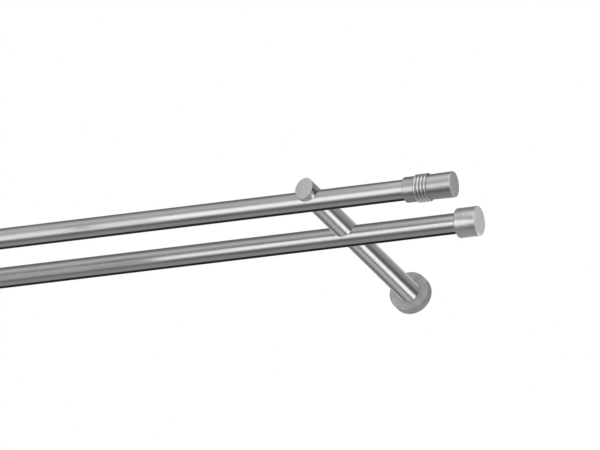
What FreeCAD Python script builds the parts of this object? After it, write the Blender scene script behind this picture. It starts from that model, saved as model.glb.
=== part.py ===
import FreeCAD, Part

import math
import os

# Double curtain pole for a wall. Two round tubes with a glider track inside lie one behind the
# other under two round bracket arms, and each arm is screwed to the wall through a round plate.
# All sizes are in millimetres. The origin lies on the wall plane, on the line through the two
# wall bolts and halfway between them. X runs along the poles, +Y into the wall and +Z up.

# Layout
pole_length = 1000.0
bracket_spacing = 740.0
wall_to_rear_pole = 164.0
pole_pitch = 88.0
arm_axis_above_pole = 6.5

# Pole tube: one extruded section, the same for both poles
pole_d = 20.0
pole_wall = 1.2
slot_width = 4.6
slot_lip_chamfer = 0.25
track_floor_below_axis = 7.0
web_bottom_above_axis = 0.6
web_thickness = 1.2

# Bracket arm: a round bar with a saddle for each pole. Its free end is cut aslant, so that the
# end face turns from straight ahead towards the middle of the pole.
arm_d = 20.8
arm_past_front_pole = 17.0
arm_end_turn_deg = 21.0
saddle_clearance = 0.1
arm_thread_depth = 24.0
drill_point_deg = 118.0

# Wall plate: a turned disc, hollow behind, with a boss round the bolt
plate_d = 39.0
plate_thickness = 10.0
plate_rim_wall = 2.5
plate_face_wall = 3.0
plate_boss_d = 16.0
plate_edge_chamfer = 0.6
plate_bolt_clearance = 0.25

# Hanger bolt: machine thread in the arm, a plain neck, and wood thread in the wall
wall_bolt_d = 8.0
wall_bolt_in_arm = 22.0
wall_bolt_neck_d = 6.8
wall_bolt_neck_length = 6.0
wood_thread_d = 7.6
wall_bolt_in_wall = 28.0
wall_bolt_point_length = 8.0
wall_bolt_point_d = 1.6
wall_bolt_end_chamfer = 0.8

# Clamp screw, through the arm into a nut that slides in the pole's upper channel
clamp_screw_d = 4.0
clamp_screw_length = 10.0
clamp_head_d = 7.0
clamp_head_height = 2.8
clamp_head_sunk = 0.2
clamp_head_chamfer = 0.3
clamp_socket = 2.5
clamp_socket_depth = 1.7
counterbore_clearance = 0.3
screw_hole_clearance = 0.25
thread_clearance = 0.05
screw_end_chamfer = 0.4

# Slide nut
nut_length = 14.0
nut_width = 9.0
nut_height = 3.7
nut_clearance = 0.1

# Finial on the front pole: a turned knob with a ring of ridges
finial_length = 48.3
finial_bore_depth = 34.0
finial_sleeve_d = 24.0
finial_rim_chamfer = 0.5
ridge_count = 4
ridge_d = 26.6
ridge_valley_d = 24.8
ridge_width = 3.0
ridge_crest = 1.0
ridge_pitch = 3.4
first_ridge_from_rim = 12.8
waist_d = 23.7
finial_end_d = 24.4
finial_end_chamfer = 0.4

# Cap on the rear pole: a plain turned cylinder
cap_length = 21.3
cap_bore_depth = 17.0
cap_d = 28.1
cap_rim_chamfer = 1.0
cap_face_chamfer = 0.7

# Both end pieces slide over the tube and are held by a grub screw on the side of the wall
end_piece_clearance = 0.1
finial_grub_d = 3.0
finial_grub_socket = 1.5
finial_grub_from_rim = 5.5
cap_grub_d = 4.0
cap_grub_socket = 2.0
cap_grub_from_rim = 7.0
grub_tip_gap = 0.05
grub_sunk = 0.1
grub_socket_share = 0.5

# End stop, a moulded block in the track just inside each end piece
stop_length = 12.0
stop_from_rim = 3.5
stop_clearance = 0.15
stop_foot_above_skin = 0.5
stop_end_chamfer = 0.6

# How far a cutting tool runs past the surface that it cuts
overcut = 1.0

# Values that follow from the sizes above
pole_r = pole_d / 2
pole_bore_r = pole_r - pole_wall
arm_r = arm_d / 2
slot_half = slot_width / 2
web_top_above_axis = web_bottom_above_axis + web_thickness
pole_axis_z = -arm_axis_above_pole
rear_pole_y = -wall_to_rear_pole
front_pole_y = rear_pole_y - pole_pitch
arm_end_y = front_pole_y - arm_past_front_pole
pole_end_x = pole_length / 2
end_bore_r = pole_r + end_piece_clearance
finial_rim_x = pole_end_x - finial_bore_depth
cap_rim_x = pole_end_x - cap_bore_depth
counterbore_r = clamp_head_d / 2 + counterbore_clearance
clamp_hole_r = clamp_screw_d / 2 + screw_hole_clearance
# The head's top lies just under the lowest point of the counterbore's edge on the round arm.
head_seat_z = math.sqrt(arm_r ** 2 - counterbore_r ** 2) - clamp_head_height - clamp_head_sunk
# A hexagon's corner radius for 1 mm across its flats
hex_corner = 1 / math.sqrt(3)

X_AXIS = FreeCAD.Vector(1, 0, 0)
Y_AXIS = FreeCAD.Vector(0, 1, 0)
Z_AXIS = FreeCAD.Vector(0, 0, 1)


def chord(radius, offset):
    """Half the width of a circle at a distance from its centre."""
    return math.sqrt(radius ** 2 - offset ** 2)


def line(start, end):
    return Part.LineSegment(start, end).toShape()


def arc(start, middle, end):
    return Part.Arc(start, middle, end).toShape()


def outline(points):
    """Closed wire through the points. A point given as a pair (middle, end) ends an arc."""
    edges = []
    start = points[0]
    for step in points[1:]:
        if isinstance(step, tuple):
            middle, end = step
            edges.append(arc(start, middle, end))
        else:
            end = step
            edges.append(line(start, end))
        start = end
    if not start.isEqual(points[0], 1e-7):
        edges.append(line(start, points[0]))
    return Part.Wire(edges)


def profile_point(along, radius):
    """Point of a turned piece's profile: along its axis, and out from it."""
    return FreeCAD.Vector(along, 0, radius)


def turned(points):
    """Solid turned about the X axis from a profile of along and radius."""
    return Part.Face(outline(points)).revolve(FreeCAD.Vector(), X_AXIS, 360)


def along_wall_normal(shape):
    """Turn a piece made along +X so that it lies along +Y, into the wall."""
    turned_shape = shape.copy()
    turned_shape.rotate(FreeCAD.Vector(), Z_AXIS, 90)
    return turned_shape


def moved(shape, x=0.0, y=0.0, z=0.0):
    placed = shape.copy()
    placed.translate(FreeCAD.Vector(x, y, z))
    return placed


def on_side(shape, side):
    """The piece as made for the right, or its mirror image for the left."""
    if side == "right":
        return shape
    return shape.mirror(FreeCAD.Vector(), X_AXIS)


def hex_socket(across_flats, depth, mouth, direction):
    """Hexagon prism that cuts a socket from its mouth along a direction."""
    corner_r = across_flats * hex_corner
    sideways = direction.cross(X_AXIS)
    corners = []
    for index in range(6):
        angle = math.radians(60 * index)
        across = X_AXIS * (corner_r * math.cos(angle))
        along = sideways * (corner_r * math.sin(angle))
        corners.append(mouth + across + along)
    base = Part.Face(Part.makePolygon(corners + corners[:1]))
    return base.extrude(direction * depth)


def pole_section():
    """Face of the tube's section about its own axis, in the plane X = 0."""

    def at(y, z):
        return FreeCAD.Vector(0, y, z)

    skin_z = -chord(pole_r, slot_half + slot_lip_chamfer)
    lip_z = skin_z + slot_lip_chamfer
    floor_z = -track_floor_below_axis
    floor_half = chord(pole_bore_r, track_floor_below_axis)
    web_half = chord(pole_bore_r, web_bottom_above_axis)
    lip_half = slot_half + slot_lip_chamfer
    side_z = (floor_z + web_bottom_above_axis) / 2
    side_half = chord(pole_bore_r, side_z)
    skin = outline([
        at(lip_half, skin_z),
        (at(0, pole_r), at(-lip_half, skin_z)),
        at(-slot_half, lip_z),
        at(-slot_half, floor_z),
        at(-floor_half, floor_z),
        (at(-side_half, side_z), at(-web_half, web_bottom_above_axis)),
        at(web_half, web_bottom_above_axis),
        (at(side_half, side_z), at(floor_half, floor_z)),
        at(slot_half, floor_z),
        at(slot_half, lip_z),
    ])
    channel_half = chord(pole_bore_r, web_top_above_axis)
    screw_channel = outline([
        at(-channel_half, web_top_above_axis),
        at(channel_half, web_top_above_axis),
        (at(0, pole_bore_r), at(-channel_half, web_top_above_axis)),
    ])
    return Part.Face(skin).cut(Part.Face(screw_channel))


def pole(pole_y):
    """Tube with its track, drilled in the top at each bracket for the clamp screw."""
    tube = pole_section().extrude(X_AXIS * pole_length)
    tube = moved(tube, x=-pole_end_x)
    start = FreeCAD.Vector(0, 0, pole_bore_r - overcut)
    drill = Part.makeCylinder(clamp_hole_r, pole_wall + 2 * overcut, start, Z_AXIS)
    for side_x in (-bracket_spacing / 2, bracket_spacing / 2):
        tube = tube.cut(moved(drill, x=side_x))
    return moved(tube, y=pole_y, z=pole_axis_z)


def saddle(pole_y):
    """Tool for a seat that is round over the pole and open below it."""
    radius = pole_r + saddle_clearance
    half_length = arm_r + overcut
    depth = arm_r + overcut + pole_axis_z
    start = FreeCAD.Vector(-half_length, pole_y, pole_axis_z)
    seat = Part.makeCylinder(radius, 2 * half_length, start, X_AXIS)
    corner = FreeCAD.Vector(-half_length, pole_y - radius, pole_axis_z - depth)
    way_in = Part.makeBox(2 * half_length, 2 * radius, depth, corner)
    return seat.fuse(way_in)


def clamp_screw_bore(pole_y):
    """Tool for the counterbore and the screw hole over a pole."""
    seat = FreeCAD.Vector(0, pole_y, head_seat_z)
    counterbore = Part.makeCylinder(counterbore_r, arm_r - head_seat_z + overcut, seat, Z_AXIS)
    depth = head_seat_z - pole_axis_z
    hole = Part.makeCylinder(clamp_hole_r, depth, seat - Z_AXIS * depth, Z_AXIS)
    return counterbore.fuse(hole)


def blind_thread(depth, radius):
    """Tool for a drilled and tapped hole along +X from the origin, with the drill's point."""
    point_length = radius / math.tan(math.radians(drill_point_deg / 2))
    return turned([
        profile_point(-overcut, 0),
        profile_point(-overcut, radius),
        profile_point(depth, radius),
        profile_point(depth + point_length, 0),
    ])


def end_waste(slant):
    """Tool in front of the arm's slanted end face, which crosses the arm's axis at its end."""
    half_width = arm_r + slant + overcut
    depth = 2 * slant + overcut
    corner = FreeCAD.Vector(-half_width, -depth, -half_width)
    waste = Part.makeBox(2 * half_width, depth, 2 * half_width, corner)
    waste.rotate(FreeCAD.Vector(), Z_AXIS, -arm_end_turn_deg)
    return moved(waste, y=arm_end_y)


def bracket_arm():
    """Bar from the wall plate to its free end, with both saddles and all screw holes."""
    slant = arm_r * math.tan(math.radians(arm_end_turn_deg))
    length = slant - arm_end_y - plate_thickness
    bar = Part.makeCylinder(arm_r, length, FreeCAD.Vector(0, arm_end_y - slant, 0), Y_AXIS)
    bar = bar.cut(end_waste(slant))
    for pole_y in (rear_pole_y, front_pole_y):
        bar = bar.cut(saddle(pole_y))
        bar = bar.cut(clamp_screw_bore(pole_y))
    thread = blind_thread(arm_thread_depth, wall_bolt_d / 2 + thread_clearance)
    thread.rotate(FreeCAD.Vector(), Z_AXIS, -90)
    bar = bar.cut(moved(thread, y=-plate_thickness))
    return moved(bar, x=bracket_spacing / 2)


def wall_plate():
    """Disc that covers the fixing, turned hollow behind and bored for the bolt."""
    plate_r = plate_d / 2
    hollow_depth = plate_thickness - plate_face_wall
    bolt_hole_r = wall_bolt_d / 2 + plate_bolt_clearance
    disc = turned([
        profile_point(0, bolt_hole_r),
        profile_point(0, plate_r - plate_edge_chamfer),
        profile_point(plate_edge_chamfer, plate_r),
        profile_point(plate_thickness, plate_r),
        profile_point(plate_thickness, plate_r - plate_rim_wall),
        profile_point(plate_thickness - hollow_depth, plate_r - plate_rim_wall),
        profile_point(plate_thickness - hollow_depth, plate_boss_d / 2),
        profile_point(plate_thickness, plate_boss_d / 2),
        profile_point(plate_thickness, bolt_hole_r),
    ])
    return moved(along_wall_normal(disc), x=bracket_spacing / 2, y=-plate_thickness)


def hanger_bolt():
    """Double-ended bolt from the arm's thread, through the plate, into the wall."""
    bolt_r = wall_bolt_d / 2
    neck_r = wall_bolt_neck_d / 2
    wood_r = wood_thread_d / 2
    wall_at = wall_bolt_in_arm + plate_thickness
    neck_at = wall_at - wall_bolt_neck_length
    length = wall_at + wall_bolt_in_wall
    bolt = turned([
        profile_point(0, 0),
        profile_point(0, bolt_r - wall_bolt_end_chamfer),
        profile_point(wall_bolt_end_chamfer, bolt_r),
        profile_point(neck_at, bolt_r),
        profile_point(neck_at, neck_r),
        profile_point(wall_at, neck_r),
        profile_point(wall_at, wood_r),
        profile_point(length - wall_bolt_point_length, wood_r),
        profile_point(length, wall_bolt_point_d / 2),
        profile_point(length, 0),
    ])
    return moved(along_wall_normal(bolt), x=bracket_spacing / 2, y=-wall_at)


def clamp_screw(pole_y):
    """Low-headed socket screw, pointing down from its seat in the arm."""
    screw_r = clamp_screw_d / 2
    head_r = clamp_head_d / 2
    screw = turned([
        profile_point(-clamp_head_height, 0),
        profile_point(-clamp_head_height, head_r - clamp_head_chamfer),
        profile_point(clamp_head_chamfer - clamp_head_height, head_r),
        profile_point(0, head_r),
        profile_point(0, screw_r),
        profile_point(clamp_screw_length - screw_end_chamfer, screw_r),
        profile_point(clamp_screw_length, screw_r - screw_end_chamfer),
        profile_point(clamp_screw_length, 0),
    ])
    screw.rotate(FreeCAD.Vector(), Y_AXIS, 90)
    mouth = FreeCAD.Vector(0, 0, clamp_head_height)
    screw = screw.cut(hex_socket(clamp_socket, clamp_socket_depth, mouth, -Z_AXIS))
    return moved(screw, x=bracket_spacing / 2, y=pole_y, z=head_seat_z)


def slide_nut(pole_y):
    """Nut plate with a crowned top that bears on the inside of the tube."""
    crown_r = pole_bore_r - nut_clearance
    crown = Part.makeCylinder(crown_r, nut_length, FreeCAD.Vector(-nut_length / 2, 0, 0), X_AXIS)
    corner = FreeCAD.Vector(-nut_length / 2, -nut_width / 2, crown_r - nut_height)
    block = Part.makeBox(nut_length, nut_width, nut_height, corner)
    thread_r = clamp_screw_d / 2 + thread_clearance
    thread = Part.makeCylinder(thread_r, pole_r, FreeCAD.Vector(), Z_AXIS)
    nut = block.common(crown).cut(thread)
    return moved(nut, x=bracket_spacing / 2, y=pole_y, z=pole_axis_z)


def grub_hole(x, pole_y, screw_d, outer_r):
    """Tool for the tapped hole through an end piece's wall, on the side of the wall."""
    start = FreeCAD.Vector(x, pole_y + pole_r - overcut, pole_axis_z)
    length = outer_r - pole_r + 2 * overcut
    return Part.makeCylinder(screw_d / 2 + thread_clearance, length, start, Y_AXIS)


def grub_screw(x, pole_y, screw_d, outer_r, across_flats):
    """Headless socket screw from the tube's skin to just under the end piece's skin."""
    tip_y = pole_r + grub_tip_gap
    length = outer_r - grub_sunk - tip_y
    start = FreeCAD.Vector(x, pole_y + tip_y, pole_axis_z)
    body = Part.makeCylinder(screw_d / 2, length, start, Y_AXIS)
    mouth = start + Y_AXIS * length
    return body.cut(hex_socket(across_flats, length * grub_socket_share, mouth, -Y_AXIS))


def finial_profile():
    """Profile of the front pole's finial, from its rim to its flat face."""
    sleeve_r = finial_sleeve_d / 2
    valley_r = ridge_valley_d / 2
    end_r = finial_end_d / 2
    half_ridge = ridge_width / 2
    last_ridge_end = first_ridge_from_rim + (ridge_count - 1) * ridge_pitch + half_ridge
    points = [
        profile_point(0, end_bore_r),
        profile_point(0, sleeve_r - finial_rim_chamfer),
        profile_point(finial_rim_chamfer, sleeve_r),
        profile_point(first_ridge_from_rim - half_ridge, sleeve_r),
    ]
    for index in range(ridge_count):
        centre = first_ridge_from_rim + index * ridge_pitch
        points.append(profile_point(centre - half_ridge, valley_r))
        points.append(profile_point(centre - ridge_crest / 2, ridge_d / 2))
        points.append(profile_point(centre + ridge_crest / 2, ridge_d / 2))
        points.append(profile_point(centre + half_ridge, valley_r))
    points += [
        profile_point(last_ridge_end, waist_d / 2),
        profile_point(finial_length - finial_end_chamfer, end_r),
        profile_point(finial_length, end_r - finial_end_chamfer),
        profile_point(finial_length, 0),
        profile_point(finial_bore_depth, 0),
        profile_point(finial_bore_depth, end_bore_r),
    ]
    return points


def front_finial():
    """Finial over the front pole's end, with its tapped hole."""
    knob = moved(turned(finial_profile()), x=finial_rim_x, y=front_pole_y, z=pole_axis_z)
    hole_x = finial_rim_x + finial_grub_from_rim
    return knob.cut(grub_hole(hole_x, front_pole_y, finial_grub_d, finial_sleeve_d / 2))


def rear_cap():
    """Plain cap over the rear pole's end, with its tapped hole."""
    cap_r = cap_d / 2
    cap = turned([
        profile_point(0, end_bore_r),
        profile_point(0, cap_r - cap_rim_chamfer),
        profile_point(cap_rim_chamfer, cap_r),
        profile_point(cap_length - cap_face_chamfer, cap_r),
        profile_point(cap_length, cap_r - cap_face_chamfer),
        profile_point(cap_length, 0),
        profile_point(cap_bore_depth, 0),
        profile_point(cap_bore_depth, end_bore_r),
    ])
    cap = moved(cap, x=cap_rim_x, y=rear_pole_y, z=pole_axis_z)
    hole_x = cap_rim_x + cap_grub_from_rim
    return cap.cut(grub_hole(hole_x, rear_pole_y, cap_grub_d, cap_r))


def is_top_end_edge(edge, top_z):
    """True for an edge across the block's top at either end."""
    box = edge.BoundBox
    return box.XLength < 0.001 and box.ZLength < 0.001 and abs(box.ZMin - top_z) < 0.001


def end_stop(rim_x, pole_y):
    """Block that fills the track, with a foot in the slot."""
    bore_r = pole_bore_r - stop_clearance
    bottom_z = stop_clearance - track_floor_below_axis
    top_z = web_bottom_above_axis - stop_clearance
    crown = Part.makeCylinder(bore_r, stop_length, FreeCAD.Vector(), X_AXIS)
    block = Part.makeBox(stop_length, 2 * bore_r, top_z - bottom_z, FreeCAD.Vector(0, -bore_r, bottom_z))
    foot_half = slot_half - stop_clearance
    foot_z = stop_foot_above_skin - pole_r
    foot = Part.makeBox(stop_length, 2 * foot_half, bottom_z - foot_z, FreeCAD.Vector(0, -foot_half, foot_z))
    body = block.common(crown).fuse(foot).removeSplitter()
    lead_in = [edge for edge in body.Edges if is_top_end_edge(edge, top_z)]
    body = body.makeChamfer(stop_end_chamfer, lead_in)
    return moved(body, x=rim_x + stop_from_rim, y=pole_y, z=pole_axis_z)


def right_hand_pieces():
    """Every piece that has a mirror twin, by name."""
    finial_grub_x = finial_rim_x + finial_grub_from_rim
    finial_grub = grub_screw(
        finial_grub_x, front_pole_y, finial_grub_d, finial_sleeve_d / 2, finial_grub_socket
    )
    cap_grub_x = cap_rim_x + cap_grub_from_rim
    cap_grub = grub_screw(cap_grub_x, rear_pole_y, cap_grub_d, cap_d / 2, cap_grub_socket)
    return {
        "front_finial": front_finial(),
        "rear_cap": rear_cap(),
        "finial_grub_screw": finial_grub,
        "cap_grub_screw": cap_grub,
        "front_end_stop": end_stop(finial_rim_x, front_pole_y),
        "rear_end_stop": end_stop(cap_rim_x, rear_pole_y),
        "bracket_arm": bracket_arm(),
        "wall_plate": wall_plate(),
        "hanger_bolt": hanger_bolt(),
        "front_clamp_screw": clamp_screw(front_pole_y),
        "rear_clamp_screw": clamp_screw(rear_pole_y),
        "front_slide_nut": slide_nut(front_pole_y),
        "rear_slide_nut": slide_nut(rear_pole_y),
    }


def all_pieces():
    pieces = {"front_pole": pole(front_pole_y), "rear_pole": pole(rear_pole_y)}
    for name, shape in right_hand_pieces().items():
        for side in ("left", "right"):
            pieces[f"{name}_{side}"] = on_side(shape, side)
    return pieces


os.makedirs("parts", exist_ok=True)
for node, solid in all_pieces().items():
    solid.exportStep(os.path.join("parts", f"{node}.step"))
    print(f"{node}: volume {solid.Volume / 1000:.2f} cm3, valid {solid.isValid()}, solids {len(solid.Solids)}")
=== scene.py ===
"""Looks of a double curtain pole: two slotted tubes under round bracket arms, with turned ends."""
import logging
import math
from dataclasses import dataclass
from enum import Enum
from typing import ClassVar, Iterable, Sequence

import bmesh
import bpy
from bmesh.types import BMEdge, BMesh, BMVert
from bpy.types import Material, Node, NodeSocket, NodeTree, Object
from mathutils import Matrix, Vector


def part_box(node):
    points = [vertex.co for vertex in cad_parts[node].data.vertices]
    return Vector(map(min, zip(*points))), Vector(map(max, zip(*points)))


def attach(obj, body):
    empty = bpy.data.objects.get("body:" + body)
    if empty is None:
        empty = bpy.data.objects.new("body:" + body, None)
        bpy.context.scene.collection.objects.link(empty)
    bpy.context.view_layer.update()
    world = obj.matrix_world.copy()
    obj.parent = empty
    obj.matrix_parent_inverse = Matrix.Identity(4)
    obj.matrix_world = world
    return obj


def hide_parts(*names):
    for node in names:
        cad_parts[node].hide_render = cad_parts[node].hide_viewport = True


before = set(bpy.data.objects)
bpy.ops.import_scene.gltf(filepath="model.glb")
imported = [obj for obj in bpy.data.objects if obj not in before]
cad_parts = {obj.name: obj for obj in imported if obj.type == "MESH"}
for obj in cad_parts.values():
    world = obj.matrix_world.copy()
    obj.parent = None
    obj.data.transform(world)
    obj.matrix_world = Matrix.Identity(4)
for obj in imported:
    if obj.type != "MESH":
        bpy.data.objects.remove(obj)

logging.basicConfig(level=logging.INFO, format="%(message)s")
log = logging.getLogger("curtain_pole")

MM = 0.001
ROUND_STEPS = 128
SMALL_STEPS = 40
BOLT_STEPS = 48
COUNTERBORE_STEPS = 64
BROKEN_EDGE = 0.15 * MM
CRISP_EDGE = 0.08 * MM
DRILL_OVERLAP = 1.0 * MM
NOISE_LOW = 0.3
NOISE_HIGH = 0.7
MERGE_WITHIN = 1e-6
SHARP_ANGLE = math.radians(24.0)
X_AXIS = Vector((1.0, 0.0, 0.0))


class Side(Enum):
    """The two ends of the pole, which are mirror images."""

    LEFT = "left"
    RIGHT = "right"

    @property
    def sign(self) -> float:
        """Direction of this end along X."""
        return -1.0 if self is Side.LEFT else 1.0


class Place(Enum):
    """Which of the two poles a piece belongs to."""

    FRONT = "front"
    REAR = "rear"


class Slot(Enum):
    """The material slots of the record."""

    POLE = "pole_metal"
    FINIAL = "finial_metal"
    CAP = "cap_metal"
    ARM = "arm_metal"
    PLATE = "plate_metal"
    SCREW = "screw_steel"
    STOP = "stop_plastic"


class Lay(Enum):
    """How a piece lies, and so which way its pattern is turned."""

    ALONG_POLE = (0.0, 0.0, 0.0)
    ALONG_ARM = (0.0, 0.0, math.radians(90.0))


@dataclass(frozen=True)
class Corner:
    """One point of a turned profile: along the axis, out from it, and how much it is rounded."""

    along: float
    radius: float
    rounding: float = 0.0


# Building meshes


def wire(bm: BMesh, corners: Sequence[Corner], segments: int = 4) -> None:
    """Draw a profile as a wire in the XZ plane, with its rounded corners.

    Args:
        bm: Empty mesh that takes the wire.
        corners: Points of the profile, in order.
        segments: Segments of each rounded corner.
    """
    points = [bm.verts.new((corner.along, 0.0, corner.radius)) for corner in corners]
    for first, second in zip(points, points[1:]):
        bm.edges.new((first, second))
    sizes = sorted({corner.rounding for corner in corners if corner.rounding > 0.0})
    for size in sizes:
        rounded = [point for point, corner in zip(points, corners) if corner.rounding == size]
        bmesh.ops.bevel(
            bm, geom=rounded, offset=size, offset_type="OFFSET", segments=segments,
            profile=0.5, affect="VERTICES", material=-1, clamp_overlap=True,
        )


def close_up(bm: BMesh) -> None:
    """Merge doubled points and turn all faces outwards."""
    bmesh.ops.remove_doubles(bm, verts=bm.verts[:], dist=MERGE_WITHIN)
    bmesh.ops.recalc_face_normals(bm, faces=bm.faces[:])


def spin(bm: BMesh, geom: list, angle: float, steps: int, advance: float = 0.0,
         merge: bool = False) -> dict:
    """Spin parts of a mesh about the X axis.

    Args:
        bm: The mesh.
        geom: Its parts to spin.
        angle: Whole angle.
        steps: Number of steps.
        advance: Way along the axis at each step.
        merge: Whether the last step joins the first.

    Returns:
        What the operator gives back.
    """
    return bmesh.ops.spin(
        bm, geom=geom, cent=(0.0, 0.0, 0.0), axis=X_AXIS, dvec=X_AXIS * advance, angle=angle,
        steps=steps, use_merge=merge, use_normal_flip=False, use_duplicate=False,
    )


def turned(corners: Sequence[Corner], steps: int = ROUND_STEPS) -> BMesh:
    """Turn a profile about the X axis, as on a lathe.

    Args:
        corners: Profile from the axis or a bore round to its start.
        steps: Facets round the piece.

    Returns:
        A closed mesh about the X axis.
    """
    bm = bmesh.new()
    wire(bm, corners)
    spin(bm, bm.verts[:] + bm.edges[:], math.tau, steps, merge=True)
    close_up(bm)
    return bm


def ring(corners: Sequence[Corner]) -> list[Corner]:
    """Profile that closes on itself round a bore: its last point is its first."""
    return [*corners, corners[0]]


def rod(radius: float, length: float, steps: int = SMALL_STEPS) -> BMesh:
    """Plain round bar from the origin along X."""
    corners = [Corner(0.0, 0.0), Corner(0.0, radius), Corner(length, radius), Corner(length, 0.0)]
    return turned(corners, steps)


def place(bm: BMesh, *moves: Matrix) -> BMesh:
    """Apply moves to a mesh, in the order given, and keep its faces pointing outwards."""
    for move in moves:
        bmesh.ops.transform(bm, matrix=move, verts=bm.verts[:])
    bmesh.ops.recalc_face_normals(bm, faces=bm.faces[:])
    return bm


def shift(x: float = 0.0, y: float = 0.0, z: float = 0.0) -> Matrix:
    """Move by a distance along each axis."""
    return Matrix.Translation((x, y, z))


def turn(axis: str, degrees: float) -> Matrix:
    """Turn about an axis through the origin."""
    return Matrix.Rotation(math.radians(degrees), 4, axis)


def mirror_to(side: Side) -> Matrix:
    """Identity for the right side, and a mirror in the plane X = 0 for the left."""
    return Matrix.Scale(side.sign, 4, X_AXIS)


def piece_from(bm: BMesh, name: str) -> Object:
    """Make an object from a mesh, at the origin, and free the mesh."""
    mesh = bpy.data.meshes.new(name)
    bm.to_mesh(mesh)
    bm.free()
    piece = bpy.data.objects.new(name, mesh)
    bpy.context.scene.collection.objects.link(piece)
    return piece


def shade(piece: Object) -> None:
    """Smooth the round faces and keep the real edges crisp."""
    piece.data.shade_smooth()
    piece.data.set_sharp_from_angle(angle=SHARP_ANGLE)


def combine(piece: Object, tools: Iterable[BMesh], operation: str) -> None:
    """Cut tools out of a piece or join them to it, and bake the result into its mesh.

    Args:
        piece: The object to change.
        tools: Closed meshes. They are freed.
        operation: DIFFERENCE or UNION.
    """
    helpers = []
    for index, tool in enumerate(tools):
        helper = piece_from(tool, f"{piece.name}_tool_{index}")
        modifier = piece.modifiers.new("combine", "BOOLEAN")
        modifier.operation = operation
        modifier.solver = "EXACT"
        modifier.object = helper
        helpers.append(helper)
    bpy.context.view_layer.update()
    depsgraph = bpy.context.evaluated_depsgraph_get()
    shaped = bpy.data.meshes.new_from_object(piece.evaluated_get(depsgraph))
    piece.modifiers.clear()
    plain = piece.data
    piece.data = shaped
    bpy.data.meshes.remove(plain)
    shaped.name = piece.name
    for helper in helpers:
        mesh = helper.data
        bpy.data.objects.remove(helper)
        bpy.data.meshes.remove(mesh)
    bm = bmesh.new()
    bm.from_mesh(shaped)
    bmesh.ops.remove_doubles(bm, verts=bm.verts[:], dist=MERGE_WITHIN)
    bm.to_mesh(shaped)
    bm.free()


def hand_over(piece: Object, material: Material, slot: Slot, *nodes: str) -> None:
    """Dress a finished piece and put it in the place of its nodes.

    Args:
        piece: The finished object.
        material: Its finish.
        slot: Not used.
        nodes: The nodes that it stands for.
    """
    piece.data.materials.clear()
    piece.data.materials.append(material)
    shade(piece)
    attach(piece, "root")
    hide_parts(*nodes)
    log.info("%s: %d faces, stands for %s", piece.name, len(piece.data.polygons), ", ".join(nodes))


# Shader node groups and finishes


class Wiring:
    """Adds nodes to one node tree and joins them."""

    def __init__(self, tree: NodeTree) -> None:
        """Keep the tree that takes the nodes."""
        self.tree = tree

    def feed(self, socket: NodeSocket, value: object) -> None:
        """Set a socket, or join another socket to it."""
        if isinstance(value, NodeSocket):
            self.tree.links.new(value, socket)
        else:
            socket.default_value = value

    def add(self, kind: str, settings: dict[str, object] | None = None, **inputs: object) -> Node:
        """Add a node.

        Args:
            kind: Type of the node.
            settings: Properties of the node.
            inputs: Values or sockets for its inputs, by name with _ for a space.

        Returns:
            The new node.
        """
        node = self.tree.nodes.new(kind)
        for name, value in (settings or {}).items():
            setattr(node, name, value)
        for name, value in inputs.items():
            self.feed(node.inputs[name.replace("_", " ")], value)
        return node

    def math(self, operation: str, *values: object, clamp: bool = False) -> NodeSocket:
        """Result of a Math node on numbers or sockets."""
        node = self.add("ShaderNodeMath", {"operation": operation, "use_clamp": clamp})
        for socket, value in zip(node.inputs, values):
            self.feed(socket, value)
        return node.outputs[0]

    def vector(self, x: object, y: object, z: object) -> NodeSocket:
        """Vector from three numbers or sockets."""
        return self.add("ShaderNodeCombineXYZ", X=x, Y=y, Z=z).outputs[0]

    def parts(self, vector: NodeSocket) -> tuple[NodeSocket, ...]:
        """The three numbers of a vector."""
        return tuple(self.add("ShaderNodeSeparateXYZ", Vector=vector).outputs)

    def noise(self, vector: object, scale: object, detail: float, roughness: float = 0.5) -> NodeSocket:
        """Value of a noise texture."""
        node = self.add(
            "ShaderNodeTexNoise", Vector=vector, Scale=scale, Detail=detail, Roughness=roughness)
        return node.outputs[0]

    def remap(self, value: object, low: float, high: float, to_low: object, to_high: object,
              smooth: bool = False) -> NodeSocket:
        """Map a value from one range to another, clamped."""
        kind = "SMOOTHSTEP" if smooth else "LINEAR"
        node = self.add("ShaderNodeMapRange", {"interpolation_type": kind, "clamp": True})
        for socket, number in zip(node.inputs, (value, low, high, to_low, to_high)):
            self.feed(socket, number)
        return node.outputs[0]

    def spread(self, noise: NodeSocket) -> NodeSocket:
        """The middle values of a noise, stretched from 0 to 1."""
        return self.remap(noise, NOISE_LOW, NOISE_HIGH, 0.0, 1.0)

    def swing(self, value: object, contrast: float) -> NodeSocket:
        """A value from 0 to 1 as a swing about 0."""
        return self.math("MULTIPLY", self.math("SUBTRACT", value, 0.5), contrast)

    def from_axis(self, y: object, z: object) -> NodeSocket:
        """Distance from the X axis."""
        squares = self.math("ADD", self.math("POWER", y, 2.0), self.math("POWER", z, 2.0))
        return self.math("SQRT", squares)

    def blend(self, factor: object, first: object, second: object) -> NodeSocket:
        """Mix of two colours."""
        node = self.add("ShaderNodeMix", {"data_type": "RGBA"})
        for index, value in ((0, factor), (6, first), (7, second)):
            self.feed(node.inputs[index], value)
        return node.outputs[2]

    def group(self, tree: NodeTree, **inputs: object) -> Node:
        """Place a shared group with its own values."""
        return self.add("ShaderNodeGroup", {"node_tree": tree}, **inputs)

    def surface(self, shader: NodeSocket) -> None:
        """Make a shader the surface of the material."""
        self.feed(self.tree.nodes["Material Output"].inputs["Surface"], shader)


def grey(tone: float) -> tuple[float, float, float, float]:
    """Opaque grey of a tone."""
    return (tone, tone, tone, 1.0)


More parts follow.
